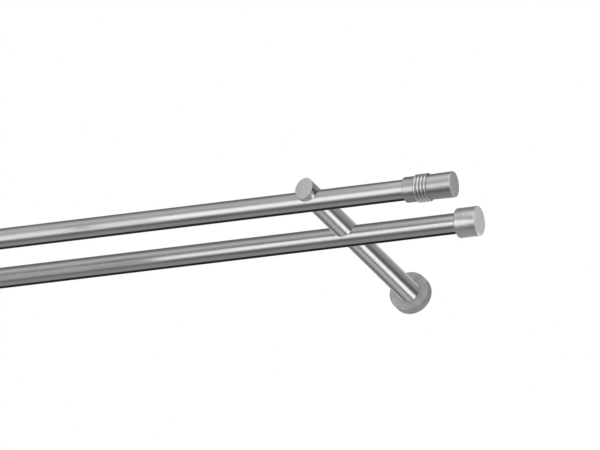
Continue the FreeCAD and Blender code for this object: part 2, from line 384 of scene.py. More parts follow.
def new_material(name: str) -> tuple[Material, Wiring, Node]:
    """Start a material, and give it with its wiring and its Principled BSDF."""
    material = bpy.data.materials.new(name)
    material.use_nodes = True
    return material, Wiring(material.node_tree), material.node_tree.nodes["Principled BSDF"]


class GroupKit:
    """The effects that several finishes share, each built once."""

    BRUSHED_BAND = 6.0
    LATHED_BAND = 7.0
    LATHE_DRIFT = 40.0
    MARKS_ALONG = 160.0
    MARKS_ACROSS = 900.0
    MARKS_FROM = 0.70
    MARKS_FULL = 0.76

    def __init__(self) -> None:
        """Build the groups."""
        self.brushed = self._brushed()
        self.lathed = self._lathed()
        self.handled = self._handled()

    @staticmethod
    def _new(name: str, inputs: dict[str, str], outputs: dict[str, str]) -> tuple:
        """Start a group.

        Args:
            name: Name of the group.
            inputs: Input sockets, name to kind.
            outputs: Output sockets, name to kind.

        Returns:
            The group, its wiring, its input node and its output node.
        """
        tree = bpy.data.node_groups.new(name, "ShaderNodeTree")
        for in_out, sockets in (("INPUT", inputs), ("OUTPUT", outputs)):
            for label, kind in sockets.items():
                tree.interface.new_socket(name=label, in_out=in_out, socket_type=f"NodeSocket{kind}")
        wiring = Wiring(tree)
        return tree, wiring, wiring.add("NodeGroupInput"), wiring.add("NodeGroupOutput")

    def _brushed(self) -> NodeTree:
        """Brushing lines along the pattern's X axis: fine hairs and broader bands."""
        tree, wiring, given, result = self._new(
            "brushed_lines",
            {"Position": "Vector", "Line Length": "Float", "Line Width": "Float"},
            {"Lines": "Float", "Bands": "Float"},
        )
        x, y, z = wiring.parts(given.outputs["Position"])
        along = wiring.math("DIVIDE", x, given.outputs["Line Length"])
        for label, widen, roughness in (("Lines", 1.0, 0.6), ("Bands", self.BRUSHED_BAND, 0.5)):
            width = wiring.math("MULTIPLY", given.outputs["Line Width"], widen)
            spot = wiring.vector(
                wiring.math("DIVIDE", along, widen ** 0.5),
                wiring.math("DIVIDE", y, width),
                wiring.math("DIVIDE", z, width),
            )
            wiring.feed(result.inputs[label], wiring.spread(wiring.noise(spot, 1.0, 2.0, roughness)))
        return tree

    def _lathed(self) -> NodeTree:
        """Fine lines round the pattern's X axis, as a lathe leaves them on sides and faces."""
        tree, wiring, given, result = self._new(
            "lathe_lines",
            {"Position": "Vector", "Line Width": "Float"},
            {"Lines": "Float", "Bands": "Float"},
        )
        x, y, z = wiring.parts(given.outputs["Position"])
        out = wiring.from_axis(y, z)
        drift = wiring.math("MULTIPLY", y, self.LATHE_DRIFT)
        for label, widen, detail in (("Lines", 1.0, 2.0), ("Bands", self.LATHED_BAND, 1.0)):
            width = wiring.math("MULTIPLY", given.outputs["Line Width"], widen)
            spot = wiring.vector(wiring.math("DIVIDE", x, width), wiring.math("DIVIDE", out, width), drift)
            wiring.feed(result.inputs[label], wiring.spread(wiring.noise(spot, 1.0, detail)))
        return tree

    def _handled(self) -> NodeTree:
        """Slow clouds from handling and rare small marks."""
        tree, wiring, given, result = self._new(
            "handling_marks",
            {"Position": "Vector", "Cloud Size": "Float"},
            {"Clouds": "Float", "Marks": "Float"},
        )
        scale = wiring.math("DIVIDE", 1.0, given.outputs["Cloud Size"])
        clouds = wiring.noise(given.outputs["Position"], scale, 3.0, 0.55)
        wiring.feed(result.inputs["Clouds"], wiring.spread(clouds))
        x, y, z = wiring.parts(given.outputs["Position"])
        across = [wiring.math("MULTIPLY", part, self.MARKS_ACROSS) for part in (y, z)]
        spot = wiring.vector(wiring.math("MULTIPLY", x, self.MARKS_ALONG), *across)
        marks = wiring.noise(spot, 1.0, 1.0)
        shown = wiring.remap(marks, self.MARKS_FROM, self.MARKS_FULL, 0.0, 1.0, smooth=True)
        wiring.feed(result.inputs["Marks"], shown)
        return tree


@dataclass(frozen=True)
class Metal:
    """A stainless steel look: brushed lengthwise or turned, with its own tone, and optionally with painted
    highlights on the end face, the crests and a rim, and painted shade inside a tube.

    Lengths are in metres. The pattern is centred on a piece's axis, and mirrored for the left side.
    """

    slot: Slot
    tone: float
    roughness: float
    lay: Lay
    centre: tuple[float, float, float] = (0.0, 0.0, 0.0)
    line_width: float = 0.28 * MM
    line_length: float = 40.0 * MM
    line_contrast: float = 0.10
    band_contrast: float = 0.08
    cloud_contrast: float = 0.06
    cloud_size: float = 60.0 * MM
    mark_contrast: float = 0.08
    blue_share: float = 0.975
    roughness_swing: float = 0.06
    relief: float = 0.0015 * MM
    # Painted light: past face_at the flat end face gets a lighter grey; its roughness there is the face's
    # own finish.
    face_at: float = 0.0
    painted_face_light: float = 0.0
    face_roughness: float = 0.0
    face_turn: float = 0.0
    # Painted shade: within this radius of the axis the metal is painted near black, not metallic and
    # rougher.
    painted_shade_radius: float = 0.0
    painted_shade_tone: float = 0.004
    painted_shade_roughness: float = 0.4
    # Painted highlight: beyond this radius the crests of ridges get a lighter grey.
    crest_highlight_radius: float = 0.0
    painted_crest_highlight: float = 0.0
    # Painted highlight: a lighter ring round the end face, past rim_highlight_at and outside
    # rim_highlight_radius.
    rim_highlight_at: float = 0.0
    rim_highlight_radius: float = 0.0
    painted_rim_highlight: float = 0.0
    lathe_turned: bool = False
    anisotropy: float = 0.0
    metallic: float = 1.0
    edge_tint: float = 0.5

    def material(self, groups: GroupKit, name: str = "") -> Material:
        """Build the finish.

        Args:
            groups: The shared node groups.
            name: Name of the material, the slot's if none is given.

        Returns:
            The material.
        """
        material, wiring, shader = new_material(name or self.slot.value)
        position = self._position(wiring)
        lines = self._lines(wiring, groups, position)
        marks = wiring.group(groups.handled, Position=position, Cloud_Size=self.cloud_size)
        change = self._change(wiring, lines, marks)
        colour = self._grey(wiring, self.tone, change)
        clouds = wiring.swing(marks.outputs["Clouds"], self.roughness_swing)
        streaks = wiring.math("MULTIPLY", lines.outputs["Lines"], self.roughness_swing)
        rough = wiring.math("ADD", wiring.math("ADD", self.roughness, clouds), streaks)
        # Painted light: the flat end face is given a lighter grey as well as its own roughness.
        if self.painted_face_light:
            flat = self._past_face(wiring, position)
            colour = wiring.blend(flat, colour, self._grey(wiring, self.painted_face_light, change))
            rough = wiring.math("ADD", rough, wiring.math(
                "MULTIPLY", flat, self.face_roughness - self.roughness))
        # Painted highlight: the ridge crests are painted lighter.
        if self.crest_highlight_radius:
            crest = wiring.math("SUBTRACT", 1.0, self._within(wiring, position, self.crest_highlight_radius))
            colour = wiring.blend(crest, colour, self._grey(wiring, self.painted_crest_highlight, change))
        # Painted highlight: a light rim or chamfer round the end face.
        if self.painted_rim_highlight:
            beyond = wiring.math("GREATER_THAN", wiring.parts(position)[0], self.rim_highlight_at)
            middle = self._within(wiring, position, self.rim_highlight_radius)
            rim = wiring.math("SUBTRACT", beyond, middle, clamp=True)
            colour = wiring.blend(rim, colour, self._grey(wiring, self.painted_rim_highlight, change))
        # Painted shade: the slot and the inside of the tube are painted near black in place of the shade
        # that falls there.
        if self.painted_shade_radius:
            inside = self._within(wiring, position, self.painted_shade_radius)
            colour = wiring.blend(inside, colour, grey(self.painted_shade_tone))
            rough = wiring.math("ADD", rough, wiring.math("MULTIPLY", inside, self.painted_shade_roughness))
            metal_share = wiring.math("SUBTRACT", self.metallic, inside, clamp=True)
            wiring.feed(shader.inputs["Metallic"], metal_share)
        else:
            shader.inputs["Metallic"].default_value = self.metallic
        wiring.feed(shader.inputs["Base Color"], colour)
        wiring.feed(shader.inputs["Roughness"], rough)
        bump = wiring.add(
            "ShaderNodeBump", Strength=1.0, Distance=self.relief, Height=lines.outputs["Lines"])
        wiring.feed(shader.inputs["Normal"], bump.outputs["Normal"])
        shader.inputs["Specular Tint"].default_value = grey(self.edge_tint)
        if self.anisotropy:
            shader.inputs["Anisotropic"].default_value = self.anisotropy
            tangent = wiring.add("ShaderNodeTangent", {"direction_type": "RADIAL", "axis": "X"})
            wiring.feed(shader.inputs["Tangent"], tangent.outputs[0])
        return material

    def _position(self, wiring: Wiring) -> NodeSocket:
        """Object coordinates, mirrored to the right side, centred and turned along the piece."""
        read = wiring.add("ShaderNodeTexCoord")
        x, y, z = wiring.parts(read.outputs["Object"])
        folded = wiring.vector(wiring.math("ABSOLUTE", x), y, z)
        mapping = wiring.add("ShaderNodeMapping", {"vector_type": "TEXTURE"}, Vector=folded)
        mapping.inputs["Location"].default_value = self.centre
        mapping.inputs["Rotation"].default_value = self.lay.value
        return mapping.outputs[0]

    def _lines(self, wiring: Wiring, groups: GroupKit, position: NodeSocket) -> Node:
        """The lines that the lathe or the brush leaves."""
        if self.lathe_turned:
            return wiring.group(groups.lathed, Position=position, Line_Width=self.line_width)
        return wiring.group(
            groups.brushed, Position=position, Line_Width=self.line_width, Line_Length=self.line_length)

    def _change(self, wiring: Wiring, lines: Node, marks: Node) -> NodeSocket:
        """How much lighter or darker the metal is here, as a factor about 1."""
        total: object = 1.0
        for socket, contrast in (
            (lines.outputs["Lines"], self.line_contrast),
            (lines.outputs["Bands"], self.band_contrast),
            (marks.outputs["Clouds"], self.cloud_contrast),
        ):
            total = wiring.math("ADD", total, wiring.swing(socket, contrast))
        darker = wiring.math("MULTIPLY", marks.outputs["Marks"], self.mark_contrast)
        return wiring.math("SUBTRACT", total, darker)

    def _grey(self, wiring: Wiring, tone: float, change: NodeSocket) -> NodeSocket:
        """Grey of a tone, a trace warm, times the local change."""
        level = wiring.math("MULTIPLY", change, tone)
        return wiring.vector(level, level, wiring.math("MULTIPLY", level, self.blue_share))

    def _past_face(self, wiring: Wiring, position: NodeSocket) -> NodeSocket:
        """1 on the flat end face, which may be turned about Z, and 0 before it."""
        x, y, _ = wiring.parts(position)
        along = wiring.math("MULTIPLY", wiring.math("ABSOLUTE", x), math.cos(self.face_turn))
        along = wiring.math("ADD", along, wiring.math("MULTIPLY", y, math.sin(self.face_turn)))
        return wiring.math("GREATER_THAN", along, self.face_at)

    @staticmethod
    def _within(wiring: Wiring, position: NodeSocket, radius: float) -> NodeSocket:
        """1 within a radius of the pattern's axis and 0 outside it."""
        _, y, z = wiring.parts(position)
        return wiring.math("LESS_THAN", wiring.from_axis(y, z), radius)


@dataclass(frozen=True)
class Plastic:
    """Matt black moulded plastic."""

    slot: Slot
    tone: float = 0.012
    roughness: float = 0.55
    roughness_swing: float = 0.1
    cloud_size: float = 8.0 * MM
    grain_size: float = 0.35 * MM
    relief: float = 0.01 * MM
    relief_strength: float = 0.6

    def material(self, groups: GroupKit) -> Material:
        """Build the finish with a fine moulded grain."""
        material, wiring, shader = new_material(self.slot.value)
        position = wiring.add("ShaderNodeTexCoord").outputs["Object"]
        grain = wiring.noise(position, 1.0 / self.grain_size, 2.0)
        marks = wiring.group(groups.handled, Position=position, Cloud_Size=self.cloud_size)
        level = wiring.math("MULTIPLY", wiring.math("ADD", marks.outputs["Clouds"], 0.5), self.tone)
        wiring.feed(shader.inputs["Base Color"], wiring.vector(level, level, level))
        roughest = self.roughness + self.roughness_swing
        rough = wiring.remap(grain, NOISE_LOW, NOISE_HIGH, self.roughness, roughest)
        wiring.feed(shader.inputs["Roughness"], rough)
        bump = wiring.add(
            "ShaderNodeBump", Strength=self.relief_strength, Distance=self.relief, Height=grain)
        wiring.feed(shader.inputs["Normal"], bump.outputs["Normal"])
        return material


# Sub-assemblies


@dataclass
class Tube:
    """One pole: a round tube with a glider track and a slot along its underside."""

    place: Place
    wall: float = 1.2 * MM
    slot_width: float = 4.6 * MM
    lip_chamfer: float = 0.25 * MM
    track_floor: float = 7.0 * MM
    web_bottom: float = 0.6 * MM
    web_thickness: float = 1.2 * MM
    clamp_hole_radius: float = 2.25 * MM
    skin_depth: float = 0.03 * MM
    skin_steps: int = 120
    track_steps: int = 16
    channel_steps: int = 32

    def __post_init__(self) -> None:
        """Read the tube's own size and place from the frame."""
        self.node = f"{self.place.value}_pole"
        self.low, self.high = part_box(self.node)
        self.radius = (self.high.z - self.low.z) / 2.0
        self.axis = (self.low + self.high) / 2.0
        self.bore = self.radius - self.wall

    @staticmethod
    def half_chord(radius: float, height: float) -> float:
        """Half the width of a circle at a height from its centre."""
        return math.sqrt(radius ** 2 - height ** 2)

    @staticmethod
    def sweep(bm: BMesh, start: Vector, end: Vector, steps: int, clockwise: bool) -> tuple:
        """Draw an arc about the X axis.

        Args:
            bm: Mesh that takes the arc's edges.
            start: First point, in the plane X = 0.
            end: Last point, at the same radius.
            steps: Segments of the arc.
            clockwise: Direction of travel as seen from the +X side.

        Returns:
            The arc's first and last vertices.
        """
        angle = math.atan2(end.z, end.y) - math.atan2(start.z, start.y)
        angle = angle % math.tau if not clockwise else -((-angle) % math.tau)
        first = bm.verts.new(start)
        spun = spin(bm, [first], angle, steps)
        last = [item for item in spun["geom_last"] if isinstance(item, BMVert)][0]
        return first, last

    def section(self) -> BMesh:
        """End face of the tube about its own axis, as the die gives it."""
        bm = bmesh.new()
        slot_half = self.slot_width / 2.0
        lip_half = slot_half + self.lip_chamfer
        skin_z = -self.half_chord(self.radius, lip_half)
        floor_half = self.half_chord(self.bore, self.track_floor)
        web_half = self.half_chord(self.bore, self.web_bottom)
        web_top = self.web_bottom + self.web_thickness
        channel_half = self.half_chord(self.bore, web_top)

        def at(y: float, z: float) -> Vector:
            """Point in the plane X = 0."""
            return Vector((0.0, y, z))

        right, left = self.sweep(bm, at(lip_half, skin_z), at(-lip_half, skin_z), self.skin_steps, False)
        track_left = self.sweep(
            bm, at(-floor_half, -self.track_floor), at(-web_half, self.web_bottom), self.track_steps, True)
        track_right = self.sweep(
            bm, at(web_half, self.web_bottom), at(floor_half, -self.track_floor), self.track_steps, True)
        heights = (skin_z + self.lip_chamfer, -self.track_floor)
        lips = {side: [bm.verts.new(at(side * slot_half, z)) for z in heights] for side in (-1.0, 1.0)}
        for chain in (
            [left, *lips[-1.0], track_left[0]],
            [track_left[1], track_right[0]],
            [track_right[1], *reversed(lips[1.0]), right],
        ):
            for first, second in zip(chain, chain[1:]):
                bm.edges.new((first, second))
        channel = self.sweep(
            bm, at(channel_half, web_top), at(-channel_half, web_top), self.channel_steps, False)
        bm.edges.new((channel[1], channel[0]))
        bmesh.ops.triangle_fill(bm, use_beauty=True, use_dissolve=False, edges=bm.edges[:])
        return bm

    def finish(self) -> Metal:
        """Brushed along the pole, with painted shade: everything under the outer skin, in the slot and
        inside, is painted near black.
        """
        return Metal(
            Slot.POLE, tone=0.30, roughness=0.26, lay=Lay.ALONG_POLE,
            centre=(0.0, self.axis.y, self.axis.z), painted_shade_radius=self.radius - self.skin_depth,
        )

    def build(self, material: Material, bracket_x: Iterable[float]) -> Object:
        """Extrude the section, drill it at the brackets and dress it.

        Args:
            material: The tube's finish.
            bracket_x: Where the brackets stand.

        Returns:
            The finished tube.
        """
        bm = self.section()
        grown = bmesh.ops.extrude_face_region(bm, geom=bm.faces[:])["geom"]
        length = self.high.x - self.low.x
        far = [item for item in grown if isinstance(item, BMVert)]
        bmesh.ops.translate(bm, vec=X_AXIS * length, verts=far)
        place(bm, shift(self.low.x, self.axis.y, self.axis.z))
        tube = piece_from(bm, f"{self.place.value}_tube")
        drills = []
        for x in bracket_x:
            drill = rod(self.clamp_hole_radius, 3.0 * self.wall)
            start = self.axis.z + self.bore - self.wall
            drills.append(place(drill, turn("Y", -90.0), shift(x, self.axis.y, start)))
        combine(tube, drills, "DIFFERENCE")
        hand_over(tube, material, Slot.POLE, self.node)
        tube.visible_glossy = False
        return tube


@dataclass
class EndPiece:
    """A turned piece over one end of a pole, held by a grub screw on the wall side."""

    NAME: ClassVar[str]
    POLE: ClassVar[Place]
    SLOT: ClassVar[Slot]

    side: Side
    clearance: float = 0.1 * MM
    bore_depth: float = 0.0
    grub_radius: float = 0.0
    grub_from_rim: float = 0.0
    grub_reach: float = 0.0

    def __post_init__(self) -> None:
        """Read the piece's own size and place from the frame."""
        self.node = f"{self.POLE.value}_{self.NAME}_{self.side.value}"
        low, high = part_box(self.node)
        self.length = high.x - low.x
        self.radius = (high.z - low.z) / 2.0
        self.rim = min(abs(low.x), abs(high.x))
        self.axis = (low + high) / 2.0
        tube_low, tube_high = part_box(f"{self.POLE.value}_pole")
        self.bore = (tube_high.z - tube_low.z) / 2.0 + self.clearance

    def profile(self) -> list[Corner]:
        """Profile from the rim's bore round to its start."""
        raise NotImplementedError

    def finish(self) -> Metal:
        """The finish of this kind of piece."""
        raise NotImplementedError

    def build(self, material: Material) -> Object:
        """Turn the piece, drill it for its grub screw and dress it."""
        bm = turned(self.profile())
        place(bm, shift(self.rim, self.axis.y, self.axis.z), mirror_to(self.side))
        piece = piece_from(bm, f"{self.NAME}_{self.side.value}")
        along = self.side.sign * (self.rim + self.grub_from_rim)
        hole = place(
            rod(self.grub_radius, self.grub_reach), turn("Z", 90.0),
            shift(along, self.axis.y + self.bore - DRILL_OVERLAP, self.axis.z),
        )
        combine(piece, [hole], "DIFFERENCE")
        hand_over(piece, material, self.SLOT, self.node)
        return piece


@dataclass
class Finial(EndPiece):
    """The front pole's end piece: a turned knob with a ring of ridges."""

    NAME = "finial"
    POLE = Place.FRONT
    SLOT = Slot.FINIAL

    bore_depth: float = 34.0 * MM
    grub_radius: float = 1.55 * MM
    grub_from_rim: float = 5.5 * MM
    grub_reach: float = 4.0 * MM
    sleeve_radius: float = 12.0 * MM
    sleeve_rounding: float = 0.55 * MM
    ridge_count: int = 4
    ridge_width: float = 3.0 * MM
    ridge_pitch: float = 3.4 * MM
    ridge_rounding: float = 0.6 * MM
    first_ridge: float = 12.8 * MM
    valley_radius: float = 12.4 * MM
    valley_rounding: float = 0.1 * MM
    waist_radius: float = 11.85 * MM
    end_radius: float = 12.2 * MM
    end_rounding: float = 0.45 * MM
    face_skin: float = 0.3 * MM
    # The next two sizes bound the painted highlights on the ridge crests and round the end face.
    crest_highlight_depth: float = 0.45 * MM
    rim_highlight_width: float = 0.5 * MM

    def profile(self) -> list[Corner]:
        """Profile from the rim's bore over the ridges to the closed end and back."""
        corners = [
            Corner(0.0, self.bore, BROKEN_EDGE),
            Corner(0.0, self.sleeve_radius, self.sleeve_rounding),
            Corner(self.first_ridge - self.ridge_width / 2.0, self.sleeve_radius, CRISP_EDGE),
        ]
        for index in range(self.ridge_count):
            centre = self.first_ridge + index * self.ridge_pitch
            corners += [
                Corner(centre - self.ridge_width / 2.0, self.valley_radius, self.valley_rounding),
                Corner(centre - self.ridge_width / 4.0, self.radius, self.ridge_rounding),
                Corner(centre + self.ridge_width / 4.0, self.radius, self.ridge_rounding),
                Corner(centre + self.ridge_width / 2.0, self.valley_radius, self.valley_rounding),
            ]
        last = corners[-1].along
        corners += [
            Corner(last, self.waist_radius, self.valley_rounding),
            Corner(self.length, self.end_radius, self.end_rounding),
            Corner(self.length, 0.0),
            Corner(self.bore_depth, 0.0),
            Corner(self.bore_depth, self.bore),
        ]
        return ring(corners)

    def finish(self) -> Metal:
        """Finely turned, with painted highlights: a lighter end face, lighter crests and a light rim round
        the end face.
        """
        return Metal(
            self.SLOT, tone=0.27, roughness=0.28, lay=Lay.ALONG_POLE, lathe_turned=True,
            centre=(self.rim, self.axis.y, self.axis.z), line_width=0.22 * MM,
            face_at=self.length - self.face_skin, painted_face_light=0.52, face_roughness=0.36, edge_tint=0.6,
            crest_highlight_radius=self.radius - self.crest_highlight_depth, painted_crest_highlight=0.42,
            rim_highlight_at=self.length - self.rim_highlight_width, rim_highlight_radius=self.end_radius - self.rim_highlight_width,
            painted_rim_highlight=0.55,
        )


@dataclass
class Cap(EndPiece):
    """The rear pole's end piece: a plain turned cylinder."""

    NAME = "cap"
    POLE = Place.REAR
    SLOT = Slot.CAP

    bore_depth: float = 17.0 * MM
    grub_radius: float = 2.05 * MM
    grub_from_rim: float = 7.0 * MM
    grub_reach: float = 6.0 * MM
    rim_rounding: float = 1.3 * MM
    face_chamfer: float = 0.7 * MM
    face_skin: float = 0.1 * MM

    def profile(self) -> list[Corner]:
        """Profile from the rim's bore over the side to the chamfered face and back."""
        return [
            Corner(0.0, self.bore, BROKEN_EDGE),
            Corner(0.0, self.radius, self.rim_rounding),
            Corner(self.length - self.face_chamfer, self.radius, CRISP_EDGE),
            Corner(self.length, self.radius - self.face_chamfer, CRISP_EDGE),
            Corner(self.length, 0.0),
            Corner(self.bore_depth, 0.0),
            Corner(self.bore_depth, self.bore),
            Corner(0.0, self.bore),
        ]

    def finish(self) -> Metal:
        """Coarsely turned, with painted highlights: a lighter face and a light chamfer round it."""
        return Metal(
            self.SLOT, tone=0.36, roughness=0.30, lay=Lay.ALONG_POLE, lathe_turned=True,
            centre=(self.rim, self.axis.y, self.axis.z), line_width=0.9 * MM, line_contrast=0.3,
            face_at=self.length - self.face_skin, painted_face_light=0.7, face_roughness=0.36, anisotropy=0.4,
            edge_tint=0.9, rim_highlight_at=self.length - self.face_chamfer,
            rim_highlight_radius=self.radius - self.face_chamfer, painted_rim_highlight=0.65,
        )


@dataclass
class Bracket:
    """One bracket: the arm with its saddles, the wall plate and the bolt into the wall."""

    side: Side
    end_turn: float = math.radians(21.0)
    end_rounding: float = 0.3 * MM
    saddle_clearance: float = 0.1 * MM
    saddle_overhang: float = 4.0 * MM
    saddle_drop: float = 3.0
    thread_depth: float = 24.0 * MM
    thread_radius: float = 4.05 * MM
    drill_point: float = 2.4 * MM
    counterbore_radius: float = 3.8 * MM
    counterbore_length: float = 8.0 * MM
    clamp_hole_radius: float = 2.25 * MM
    clamp_hole_length: float = 14.0 * MM
    clamp_hole_below: float = 13.0 * MM
    clamp_head_height: float = 2.8 * MM
    plate_chamfer: float = 0.6 * MM
    plate_bore: float = 4.25 * MM
    plate_rim_wall: float = 2.5 * MM
    plate_face_wall: float = 3.0 * MM
    plate_boss_radius: float = 8.0 * MM
    hollow_rounding: float = 0.4 * MM
    bolt_end_rounding: float = 0.6 * MM
    neck_rounding: float = 0.3 * MM
    neck_radius: float = 3.4 * MM
    neck_length: float = 6.0 * MM
    wood_radius: float = 3.75 * MM
    wood_core_radius: float = 2.8 * MM
    wood_thread_start: float = 0.4 * MM
    wood_thread_end: float = 1.2 * MM
    thread_pitch: float = 3.0 * MM
    thread_steps: int = 28
    thread_sink: float = 0.1 * MM
    root_share: float = 0.25
    crest_share: float = 0.03
    point_length: float = 8.0 * MM
    point_cone: float = 0.3 * MM
    point_narrowing: float = 0.82
    skin_depth: float = 0.05 * MM

    def __post_init__(self) -> None:
        """Read the bracket's own size and place from the frame."""
        self.bolt_node = f"hanger_bolt_{self.side.value}"
        self.arm_node = f"bracket_arm_{self.side.value}"
        self.plate_node = f"wall_plate_{self.side.value}"
        low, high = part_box(self.arm_node)
        self.x = (low.x + high.x) / 2.0
        self.arm_radius = (high.x - low.x) / 2.0
        self.slant = self.arm_radius * math.tan(self.end_turn)
        self.arm_end, self.arm_root = low.y + self.slant, high.y
        low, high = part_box(self.plate_node)
        self.plate_radius = (high.z - low.z) / 2.0
        self.plate_low, self.plate_high = low.y, high.y

    def saddle(self, pole: str) -> BMesh:
        """Tool for the seat over a pole: round above, open below."""
        low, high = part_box(pole)
        radius = (high.z - low.z) / 2.0 + self.saddle_clearance
        centre = (low + high) / 2.0
        reach = 2.0 * self.arm_radius + self.saddle_overhang
        seat = rod(radius, reach, ROUND_STEPS)
        below = [vert for vert in seat.verts if vert.co.z < -MERGE_WITHIN]
        for vert in below:
            if abs(vert.co.y) > MERGE_WITHIN:
                vert.co.y = math.copysign(radius, vert.co.y)
            vert.co.z = -self.saddle_drop * radius
        return place(seat, shift(self.x - reach / 2.0, centre.y, centre.z))

    def bores(self, screw: str) -> list[BMesh]:
        """Tools for a clamp screw's counterbore and hole."""
        low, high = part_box(f"{screw}_{self.side.value}")
        centre = (low + high) / 2.0
        head_seat = high.z - self.clamp_head_height
        up = turn("Y", -90.0)
        wide = rod(self.counterbore_radius, self.counterbore_length, COUNTERBORE_STEPS)
        narrow = rod(self.clamp_hole_radius, self.clamp_hole_length)
        return [
            place(wide, up, shift(self.x, centre.y, head_seat)),
            place(narrow, up, shift(self.x, centre.y, head_seat - self.clamp_hole_below)),
        ]

    def slanted_bar(self) -> BMesh:
        """Round bar whose free end is cut aslant and lightly rounded."""
        length = self.arm_root - self.arm_end + self.slant
        bm = turned([
            Corner(0.0, 0.0),
            Corner(0.0, self.arm_radius),
            Corner(length, self.arm_radius),
            Corner(length, self.thread_radius),
            Corner(length - self.thread_depth, self.thread_radius),
            Corner(length - self.thread_depth - self.drill_point, 0.0),
        ])
        place(bm, turn("Z", 90.0), shift(self.x, self.arm_end - self.slant))
        outwards = Vector((-self.side.sign * math.sin(self.end_turn), -math.cos(self.end_turn), 0.0))
        cut = bmesh.ops.bisect_plane(
            bm, geom=bm.verts[:] + bm.edges[:] + bm.faces[:], dist=MERGE_WITHIN,
            plane_co=(self.x, self.arm_end, 0.0), plane_no=outwards, clear_outer=True,
        )["geom_cut"]
        rim = [item for item in cut if isinstance(item, BMEdge)]
        bmesh.ops.contextual_create(bm, geom=rim)
        bmesh.ops.recalc_face_normals(bm, faces=bm.faces[:])
        bmesh.ops.bevel(
            bm, geom=rim, offset=self.end_rounding, offset_type="OFFSET", segments=3, profile=0.5,
            affect="EDGES", material=-1, clamp_overlap=True,
        )
        return bm

    def arm_finish(self) -> Metal:
        """Brushed along the arm, with a matt end face painted a lighter grey as painted light."""
        return Metal(
            Slot.ARM, tone=0.32, roughness=0.2, lay=Lay.ALONG_ARM, centre=(self.x, 0.0, 0.0),
            face_at=abs(self.arm_end) * math.cos(self.end_turn) - self.skin_depth, painted_face_light=0.42,
            face_roughness=0.4, face_turn=self.end_turn, edge_tint=1.0, roughness_swing=0.02,
            line_length=150.0 * MM, relief=0.0006 * MM,
        )

    def arm(self, material: Material) -> Object:
        """Cut the bar's saddles and bores and dress it."""
        arm = piece_from(self.slanted_bar(), f"arm_{self.side.value}")
        tools = [self.saddle("front_pole"), self.saddle("rear_pole")]
        tools += self.bores("front_clamp_screw") + self.bores("rear_clamp_screw")
        combine(arm, tools, "DIFFERENCE")
        hand_over(arm, material, Slot.ARM, self.arm_node)
        arm.visible_glossy = False
        return arm

    def plate_finish(self) -> Metal:
        """Nearly matt, with soft clouds and a face painted lighter than the rim, as painted light."""
        return Metal(
            Slot.PLATE, tone=0.27, roughness=0.62, lay=Lay.ALONG_ARM, centre=(self.x, 0.0, 0.0),
            face_at=abs(self.plate_low) - self.skin_depth, painted_face_light=0.34, face_roughness=0.62,
            lathe_turned=True, line_width=0.3 * MM, metallic=0.3, cloud_contrast=0.3,
            cloud_size=9.0 * MM,
        )

    def plate(self, material: Material) -> Object:
        """Turn the wall plate, hollow behind, and dress it."""
        depth = self.plate_high - self.plate_low
        rim = self.plate_radius - self.plate_rim_wall
        bm = turned(ring([
            Corner(0.0, self.plate_bore),
            Corner(0.0, self.plate_radius, self.plate_chamfer),
            Corner(depth, self.plate_radius, BROKEN_EDGE),
            Corner(depth, rim, BROKEN_EDGE),
            Corner(self.plate_face_wall, rim, self.hollow_rounding),
            Corner(self.plate_face_wall, self.plate_boss_radius, self.hollow_rounding),
            Corner(depth, self.plate_boss_radius, BROKEN_EDGE),
            Corner(depth, self.plate_bore),
        ]))
        place(bm, turn("Z", 90.0), shift(self.x, self.plate_low))
        plate = piece_from(bm, f"plate_{self.side.value}")
        hand_over(plate, material, Slot.PLATE, self.plate_node)
        plate.visible_glossy = False
        return plate

    def wood_thread(self, start: float, length: float) -> BMesh:
        """Helical ridge of a wood screw about the X axis."""
        bm = bmesh.new()
        half, crest = self.root_share * self.thread_pitch, self.crest_share * self.thread_pitch
        root = self.wood_core_radius - self.thread_sink
        corners = ((-half, root), (-crest, self.wood_radius), (crest, self.wood_radius), (half, root))
        points = [bm.verts.new((start + half + along, 0.0, radius)) for along, radius in corners]
        for first, second in zip(points, points[1:] + points[:1]):
            bm.edges.new((first, second))
        turns = (length - 2.0 * half) / self.thread_pitch
        steps = round(turns * self.thread_steps)
        advance = turns * self.thread_pitch / steps
        spin(bm, bm.verts[:] + bm.edges[:], math.tau * turns, steps, advance)
        bmesh.ops.holes_fill(bm, edges=[edge for edge in bm.edges if edge.is_boundary], sides=4)
        close_up(bm)
        return bm

    def bolt(self, material: Material) -> Object:
        """Turn the hanger bolt, wind its wood thread, point it and dress it."""
        low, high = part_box(self.bolt_node)
        radius = (high.x - low.x) / 2.0
        wall_at = -low.y
        length = high.y - low.y
        bolt = piece_from(turned([
            Corner(0.0, 0.0),
            Corner(0.0, radius, self.bolt_end_rounding),
            Corner(wall_at - self.neck_length, radius, self.neck_rounding),
            Corner(wall_at - self.neck_length, self.neck_radius),
            Corner(wall_at, self.neck_radius),
            Corner(wall_at, self.wood_core_radius),
            Corner(length - self.point_length, self.wood_core_radius),
            Corner(length - self.point_cone, self.wood_core_radius),
            Corner(length, 0.0),
        ], BOLT_STEPS), f"bolt_{self.side.value}")
        thread = self.wood_thread(wall_at + self.wood_thread_start, high.y - self.wood_thread_end)
        combine(bolt, [thread], "UNION")
        bm = bmesh.new()
        bm.from_mesh(bolt.data)
        for vert in bm.verts:
            past = (vert.co.x - (length - self.point_length)) / self.point_length
            if past > 0.0:
                narrow = 1.0 - self.point_narrowing * min(past, 1.0)
                vert.co.y *= narrow
                vert.co.z *= narrow
        place(bm, turn("Z", 90.0), shift(self.x, low.y))
        bm.to_mesh(bolt.data)
        bm.free()
        hand_over(bolt, material, Slot.SCREW, self.bolt_node)
        return bolt


# Studio


@dataclass(frozen=True)
class Card:
    """A plain card of the studio that only reflections see."""

    name: str
    centre: tuple[float, float, float]
    size: tuple[float, float]
    tone: float
    upright: bool


@dataclass(frozen=True)
class Lamp:
    """A softbox: its place, what it faces, its size and its brightness against white."""

    name: str
    centre: tuple[float, float, float]
    facing: tuple[float, float, float]
    size: tuple[float, float]
    brightness: float


